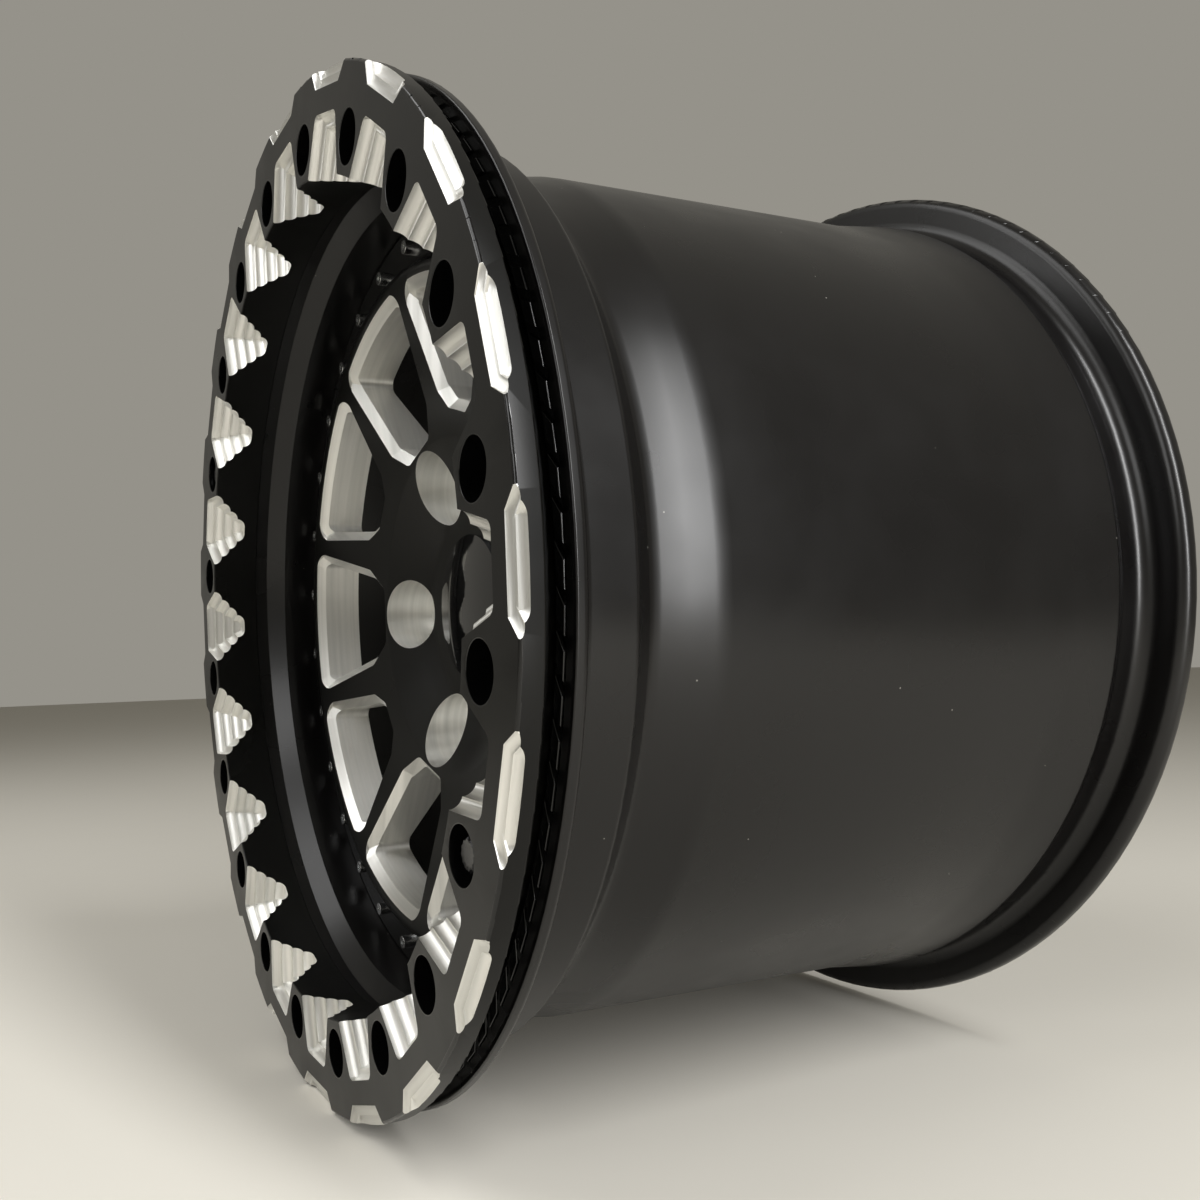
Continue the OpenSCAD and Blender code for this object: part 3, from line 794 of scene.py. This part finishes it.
@dataclass
class Barrel:
    """The one-piece barrel with its ribbed bead plate and rear flange.

    Attributes:
        rib_in_r: Inner radius of the grip ribs.
        rib_out_r: Outer radius of the grip ribs.
        plate_depth: Depth of the bead plate's face.
        rib_h: Height of a rib over that face.
        rib_edge: Radius that breaks a rib's top edges.
    """

    rib_in_r: float = 200.3
    rib_out_r: float = 205.1
    plate_depth: float = 18.15
    rib_h: float = 1.1
    rib_edge: float = 0.35

    def build(self) -> None:
        """Builds the barrel, coated all over."""
        barrel = merged_copy("barrel", "barrel_shell")
        chamfer(barrel, self.on_rib_top, self.rib_edge)
        dress(barrel, self.finish_at)
        smooth(barrel)
        lathe_normals(barrel, self.is_turned)
        hand_in(barrel, "barrel_black", "barrel")

    def beside_ribs(self, spot: Spot) -> bool:
        """Tells whether a spot is within a millimetre of the ribs' radii."""
        return self.rib_in_r - 1 < spot.radius < self.rib_out_r + 1

    def is_turned(self, spot: Spot) -> bool:
        """Tells whether a spot is clear of the grip ribs."""
        return not (self.beside_ribs(spot) and spot.depth < self.plate_depth + SLACK)

    def on_rib_top(self, spot: Spot) -> bool:
        """Tells whether a spot is on the top of a grip rib."""
        top = self.plate_depth - self.rib_h
        return self.beside_ribs(spot) and abs(spot.depth - top) < HAIR

    def finish_at(self, spot: Spot) -> Finish:
        """Gives the finish of the barrel at a spot."""
        on_ribs = self.rib_in_r < spot.radius < self.rib_out_r
        if on_ribs and spot.depth < self.plate_depth + SLACK:
            return GLOSS_COAT
        return BARREL_COAT


@dataclass
class Centre:
    """The forged centre with its spokes, windows, lug places and screw flange.

    Attributes:
        lugs: Number of lug places.
        lug_circle_r: Radius of the lug circle.
        lug_pocket_r: Radius of a lug pocket.
        lug_floor_depth: Depth of a lug pocket's floor.
        window_in_r: Smallest radius of a window.
        window_out_r: Largest radius of a window.
        flange_depth: Depth of the screw flange.
        flange_in_r: Inner radius of the screw flange.
        flange_edge: Height of the edges that are coated like the flange.
        mount_depth: Depth of the mounting face.
        hub_r: Radius of the hub bore.
        bevel: Least and largest share of the normal to the front on a window's bevel.
    """

    lugs: int = 5
    lug_circle_r: float = 60.325
    lug_pocket_r: float = 17.2
    lug_floor_depth: float = 93.0
    window_in_r: float = 76.0
    window_out_r: float = 145.5
    flange_depth: float = 56.8
    flange_in_r: float = 150.2
    flange_edge: float = 0.3
    mount_depth: float = 108.0
    hub_r: float = 36.2
    bevel: tuple[float, float] = (0.3, 0.93)

    def build(self) -> None:
        """Builds the centre with its windows and lug pockets bare."""
        centre = merged_copy("centre", "spoked_centre")
        dress(centre, self.finish_at)
        smooth(centre)
        hand_in(centre, "centre_black", "centre")

    def finish_at(self, spot: Spot) -> Finish:
        """Gives the finish of the centre at a spot."""
        if self.in_lug_place(spot) or self.in_window(spot):
            return SIDE_MILLED
        on_mount = spot.depth > self.mount_depth - TIGHT
        in_bore = spot.radius < self.hub_r and spot.front < 0.5
        if on_mount or in_bore:
            return TURNED
        on_flange = abs(spot.depth - self.flange_depth) < self.flange_edge
        if spot.radius > self.flange_in_r and on_flange:
            return GLOSS_COAT
        return SATIN_COAT

    def in_lug_place(self, spot: Spot) -> bool:
        """Tells whether a spot is on a lug pocket's wall, floor, seat or hole."""
        along, across = spot.near(self.lugs, 180 / self.lugs)
        inside = math.hypot(along - self.lug_circle_r, across) < self.lug_pocket_r + SLACK
        wall = abs(spot.front) < SLACK
        floor = spot.depth > self.lug_floor_depth - SLACK and spot.front > 0
        return inside and (wall or floor)

    def in_window(self, spot: Spot) -> bool:
        """Tells whether a spot is on a window's bevel or wall."""
        if not self.window_in_r < spot.radius < self.window_out_r:
            return False
        wall = abs(spot.front) < TIGHT
        low, high = self.bevel
        return wall or low < spot.front < high


@dataclass
class CentreScrews:
    """The socket head screws that hold the centre in the barrel.

    Attributes:
        count: Number of screws.
        circle_r: Radius of their circle.
        seat_depth: Depth of the face under their heads.
        head_r: Radius of a head.
        head_h: Height of a head.
        head_edge: Radius that breaks a head's top edge.
        shank_r: Radius of the shank.
        length: Length under the head.
        end_edge: Chamfer at the end of the shank.
        socket: Width of the hexagon socket across its flats.
        socket_depth: Depth of the socket.
    """

    count: int = 30
    circle_r: float = 162.2
    seat_depth: float = 56.8
    head_r: float = 3.1
    head_h: float = 3.4
    head_edge: float = 0.45
    shank_r: float = 2.0
    length: float = 16.0
    end_edge: float = 0.5
    socket: float = 2.5
    socket_depth: float = 1.8

    def build(self) -> None:
        """Builds one screw and copies it around the flange."""
        angles = [(place + 0.5) * 360 / self.count for place in range(self.count)]
        screws = stood_around(
            self.screw(), angles, self.circle_r, self.seat_depth, "socket_head_screws"
        )
        coat(screws, ZINC_PLATE)
        smooth(screws)
        hand_in(screws, "screw_silver", "centre_screws")

    def screw(self) -> Piece:
        """Models one screw, its head's underside at the origin and its head up.

        Returns:
            The screw, in metres.
        """
        head = cylinder(HEAD_SIDES, self.head_r, 0, self.head_h)
        bevel_level(head, self.head_h, self.head_edge, segments=2)
        corner_r = self.socket / 2 / math.cos(math.pi / HEX_SIDES)
        low, high = self.head_h - self.socket_depth, self.head_h + self.socket_depth
        socket = cylinder(HEX_SIDES, corner_r, low, high)
        apply_modifier(head, "BOOLEAN", object=socket, operation="DIFFERENCE", solver="EXACT")
        bpy.data.objects.remove(socket)
        shank = cylinder(SHANK_SIDES, self.shank_r, -self.length, 0)
        bevel_level(shank, -self.length, self.end_edge, segments=1)
        for part in (head, shank):
            apply_place(part)
        return joined([head, shank], "socket_head_screw")


def cylinder(sides: int, radius: float, low: float, high: float) -> Piece:
    """Models an upright cylinder on the Z axis.

    Args:
        sides: Number of its sides.
        radius: Radius to its corners, in millimetres.
        low: Height of its lower end.
        high: Height of its upper end.

    Returns:
        The cylinder, in metres, with its place in its object.
    """
    bpy.ops.mesh.primitive_cylinder_add(
        vertices=sides,
        radius=radius * MM,
        depth=(high - low) * MM,
        location=(0, 0, (low + high) / 2 * MM),
    )
    return bpy.context.object


def stood_around(
    fastener: Piece, angles: list[float], radius: float, depth: float, name: str
) -> Piece:
    """Stands copies of a fastener around the wheel, joined into one piece.

    Args:
        fastener: The fastener, which is used up.
        angles: Angle of each place around the axle, in degrees.
        radius: Distance of the places from the axle.
        depth: Depth of the fastener's origin.
        name: Name of the piece.

    Returns:
        The piece.
    """
    copies = []
    for angle in angles:
        copy = bpy.data.objects.new(f"{name}_copy", fastener.data.copy())
        bpy.context.scene.collection.objects.link(copy)
        copy.data.transform(stand_at(radius, angle, depth))
        copies.append(copy)
    bpy.data.objects.remove(fastener)
    return joined(copies, name)


def stand_at(radius: float, angle: float, depth: float) -> Matrix:
    """Gives the matrix that stands a fastener on the wheel with its head to the front.

    Args:
        radius: Distance of its axis from the axle.
        angle: Angle around the axle, in degrees.
        depth: Depth of the origin of the fastener.

    Returns:
        A matrix that turns +Z to the front and moves the origin to the place.
    """
    turn = math.radians(angle)
    place = Vector((radius * math.cos(turn), depth - HALF_DEPTH, -radius * math.sin(turn))) * MM
    stand = Matrix.Rotation(turn, 4, "Y") @ Matrix.Rotation(math.radians(90), 4, "X")
    return Matrix.Translation(place) @ stand


def bevel_level(piece: Piece, height: float, width: float, segments: int) -> None:
    """Bevels the edges of a fastener's part that lie at one height.

    Args:
        piece: The piece, with its place in its object.
        height: Height of the edges, in millimetres.
        width: Width of the bevel.
        segments: Number of faces across the bevel.
    """
    edit(piece, "DESELECT")
    bpy.ops.object.mode_set(mode="OBJECT")
    mesh = piece.data
    level = height * MM - piece.location.z
    for vertex in mesh.vertices:
        vertex.select = abs(vertex.co.z - level) < SAME_POINT
    for edge in mesh.edges:
        edge.select = all(mesh.vertices[v].select for v in edge.vertices)
    bpy.ops.object.mode_set(mode="EDIT")
    bpy.ops.mesh.select_mode(type="EDGE")
    bpy.ops.mesh.bevel(offset=width * MM, segments=segments, affect="EDGES")
    bpy.ops.object.mode_set(mode="OBJECT")


@dataclass
class RingBolts:
    """The two twelve-point flange bolts that are fitted in the ring.

    Attributes:
        places: Number of bolt places around the ring.
        fitted: The places that hold a bolt.
        circle_r: Radius of the bolt circle.
        seat_depth: Depth of the floor under the flanges.
        flange_r: Radius of a bolt's flange.
        flange_h: Thickness of the flange.
        flange_slope: Width of the slope around the flange's top.
        points: Number of the head's points.
        head_r: Radius to the points.
        head_h: Height of the head above the flange.
        head_slope: Height of the chamfer around the head's top.
        top_share: Size of the head's top as a share of the head.
        rim: Width of the rim around the dished top.
        dish: Depth of the dish.
        shank_r: Radius of the shank.
        pitch: Pitch of the thread.
        thread: Depth of the thread, as a share of its pitch.
        thread_sides: Number of sides of one turn of the thread.
        length: Length under the head.
    """

    places: int = 20
    fitted: tuple[int, ...] = (1, 11)
    circle_r: float = 186.2
    seat_depth: float = 11.5
    flange_r: float = 7.75
    flange_h: float = 1.8
    flange_slope: float = 0.7
    points: int = 12
    head_r: float = 5.8
    head_h: float = 7.4
    head_slope: float = 0.8
    top_share: float = 0.86
    rim: float = 1.3
    dish: float = 0.5
    shank_r: float = 4.0
    pitch: float = 1.25
    thread: float = 0.61
    thread_sides: int = 24
    length: float = 25.0

    def build(self) -> None:
        """Builds one bolt and copies it to the fitted places."""
        angles = [(place + 0.5) * 360 / self.places for place in self.fitted]
        bolts = stood_around(
            self.bolt(), angles, self.circle_r, self.seat_depth, "twelve_point_bolts"
        )
        coat(bolts, BLACK_OXIDE)
        smooth(bolts)
        hand_in(bolts, "bolt_black", "ring_bolts")

    def bolt(self) -> Piece:
        """Models one bolt, its flange's underside at the origin and its head up.

        Returns:
            The bolt, in metres.
        """
        parts = [self.flange(), self.head(), self.shank()]
        for part in parts:
            apply_place(part)
        return joined(parts, "twelve_point_bolt")

    def flange(self) -> Piece:
        """Models the flange with its sloped top."""
        flange = cylinder(FLANGE_SIDES, self.flange_r, 0, self.flange_h)
        bevel_level(flange, self.flange_h, self.flange_slope, segments=2)
        return flange

    def head(self) -> Piece:
        """Models the head, two crossed hexagons with a chamfered and dished top."""
        # the corners between the points, as a share of the points' own radius
        inner = math.cos(math.pi / HEX_SIDES) / math.cos(math.pi / self.points)
        low = self.flange_h / 2
        bpy.ops.mesh.primitive_circle_add(
            vertices=2 * self.points,
            radius=self.head_r * MM,
            fill_type="NGON",
            location=(0, 0, low * MM),
        )
        head = bpy.context.object
        for vertex in head.data.vertices:
            if vertex.index % 2:
                vertex.co *= inner
        edit(head)
        for rise in (self.flange_h + self.head_h - low - self.head_slope, self.head_slope):
            bpy.ops.mesh.extrude_region_move(TRANSFORM_OT_translate={"value": (0, 0, rise * MM)})
        bpy.ops.transform.resize(value=(self.top_share, self.top_share, 1))
        bpy.ops.mesh.inset(thickness=self.rim * MM)
        bpy.ops.transform.translate(value=(0, 0, -self.dish * MM))
        bpy.ops.mesh.select_all(action="SELECT")
        bpy.ops.mesh.normals_make_consistent(inside=False)
        bpy.ops.object.mode_set(mode="OBJECT")
        return head

    def shank(self) -> Piece:
        """Models the threaded shank as one tooth's section turned along its helix."""
        root_r = self.shank_r - self.thread * self.pitch
        turns = int(self.length / self.pitch)
        bpy.ops.mesh.primitive_plane_add(size=MM)
        shank = bpy.context.object
        mesh = shank.data
        mesh.clear_geometry()
        # radius of each corner of the section, and its height as a share of the pitch
        section = [
            (root_r, 0.0),
            (root_r, 0.12),
            (self.shank_r, 0.45),
            (self.shank_r, 0.57),
            (root_r, 0.9),
            (root_r, 1.0),
        ]
        mesh.from_pydata(
            [(r * MM, 0, (share * self.pitch - turns * self.pitch) * MM) for r, share in section],
            [(i, i + 1) for i in range(len(section) - 1)],
            [],
        )
        apply_modifier(
            shank,
            "SCREW",
            axis="Z",
            screw_offset=self.pitch * MM,
            iterations=turns - 1,
            steps=self.thread_sides,
            render_steps=self.thread_sides,
            use_merge_vertices=True,
            use_normal_calculate=True,
        )
        return shank


@dataclass
class HubCap:
    """The push-in cap with its O-ring."""

    def build(self) -> None:
        """Builds the cap and its seal."""
        for node, name, finish, bend, slot in (
            ("centre_cap", "hub_cap_shell", GLOSS_ABS, SHARP_BEND, "cap_black"),
            ("cap_o_ring", "cap_seal_ring", NITRILE, CORNER_BEND, "seal_rubber"),
        ):
            piece = merged_copy(node, name)
            coat(piece, finish)
            smooth(piece, bend)
            hand_in(piece, slot, node)


@dataclass(frozen=True)
class SoftBox:
    """A rectangular studio lamp.

    Attributes:
        name: The lamp's name.
        place: Where it hangs, in metres.
        width: Width of its face, in metres.
        height: Height of its face, in metres.
        power: Its power, in watts.
    """

    name: str
    place: tuple[float, float, float]
    width: float
    height: float
    power: float

    def build(self) -> None:
        """Hangs the lamp, aimed at the wheel."""
        light = bpy.data.lights.new(self.name, "AREA")
        light.shape = "RECTANGLE"
        light.size = self.width
        light.size_y = self.height
        light.energy = self.power
        lamp = bpy.data.objects.new(self.name, light)
        lamp.location = self.place
        lamp.rotation_euler = (-Vector(self.place)).to_track_quat("-Z", "Y").to_euler()
        bpy.context.scene.collection.objects.link(lamp)


@dataclass
class Studio:
    """The plain pale floor, the lamps and the even light of the room.

    Attributes:
        floor_colour: Colour of the floor.
        room_colour: Colour of the room around it.
        room_level: Brightness of the room as it lights matt surfaces, where 1 is as it shows.
        floor_r: Radius of the floor, in metres.
        floor_sides: Number of sides of the floor.
        floor_gap: Distance from the wheel's lowest point to the floor, in millimetres.
    """

    floor_colour: str = "#dedad0"
    room_colour: str = "#95928a"
    room_level: float = 0.6
    floor_r: float = 9.0
    floor_sides: int = 96
    floor_gap: float = 0.3
    lamps: ClassVar[tuple[SoftBox, ...]] = (
        SoftBox("side_strip", (1.6, 0.16, 0.78), 0.3, 2.0, 44),
        SoftBox("overhead_box", (-0.2, -1.2, 1.7), 1.6, 1.0, 15),
        SoftBox("front_key", (0.9, -1.7, 0.9), 0.9, 0.9, 9),
        SoftBox("front_fill", (-1.0, -1.9, 1.2), 0.8, 0.8, 7),
    )

    def build(self) -> None:
        """Builds the floor, the lamps and the world."""
        self.floor()
        for lamp in self.lamps:
            lamp.build()
        self.world()

    def floor(self) -> None:
        """Lays a wide floor just under the wheel."""
        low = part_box("beadlock_ring")[0].z - self.floor_gap * MM
        bpy.ops.mesh.primitive_circle_add(
            vertices=self.floor_sides, radius=self.floor_r, fill_type="NGON", location=(0, 0, low)
        )
        floor = bpy.context.object
        floor.name = "studio_floor"
        apply_place(floor)
        # matt emulsion paint: no sheen, and a faint mottle from the roller
        paint = PowderCoat("matt_floor_paint", self.floor_colour, 0.75, specular=0.2, peel=2.5)
        coat(floor, paint)

    def world(self) -> None:
        """Sets the even light of a room, dimmer on matt surfaces than where it is seen."""
        world = bpy.data.worlds.new("pale_room")
        world.use_nodes = True
        tree = world.node_tree
        tree.nodes.clear()
        path = add_node(tree, "LightPath")
        seen = path.outputs["Is Camera Ray"]
        for other in ("Is Glossy Ray", "Is Transmission Ray"):
            seen = worked_out(tree, "MAXIMUM", seen, path.outputs[other])
        lit = {"Value": seen, "To Min": self.room_level, "To Max": 1.0}
        level = add_node(tree, "MapRange", lit)
        back = add_node(
            tree,
            "Background",
            {"Color": linear(self.room_colour), "Strength": level.outputs["Result"]},
        )
        add_node(tree, "OutputWorld", {"Surface": back.outputs[0]})
        bpy.context.scene.world = world


@dataclass
class PhotoCamera:
    """The camera at the photograph's place, solved from the wheel's outlines.

    Attributes:
        place: Where it stands, in metres.
        turn: Its rotation about X, Y and Z, in degrees.
        lens: Focal length, in millimetres.
        sensor: Width of the sensor, in millimetres.
        shift: Sideways and upward shift of the frame.
        nearest: Nearest distance that it shows, in metres.
    """

    place: tuple[float, float, float] = (0.4820, -0.2858, -0.0275)
    turn: tuple[float, float, float] = (89.2435, 1.9532, 62.3762)
    lens: float = 34.14
    sensor: float = 36.0
    shift: tuple[float, float] = (0.0482, 0.0659)
    nearest: float = 0.01

    def build(self) -> None:
        """Sets up the camera and makes it the scene's own."""
        data = bpy.data.cameras.new("photo_camera")
        data.lens = self.lens
        data.sensor_width = self.sensor
        data.shift_x, data.shift_y = self.shift
        data.clip_start = self.nearest
        camera = bpy.data.objects.new("photo_camera", data)
        camera.location = self.place
        camera.rotation_euler = Euler([math.radians(angle) for angle in self.turn])
        bpy.context.scene.collection.objects.link(camera)
        bpy.context.scene.camera = camera


def main() -> None:
    """Builds the stage and the wheel's sub-assemblies in order."""
    logging.basicConfig(level=logging.INFO, format="%(message)s")
    bpy.context.scene.view_settings.view_transform = "Standard"
    PhotoCamera().build()
    Studio().build()
    for part in (Barrel(), Centre(), ClampRing(), CentreScrews(), RingBolts(), HubCap()):
        part.build()


if __name__ == "__main__":
    main()
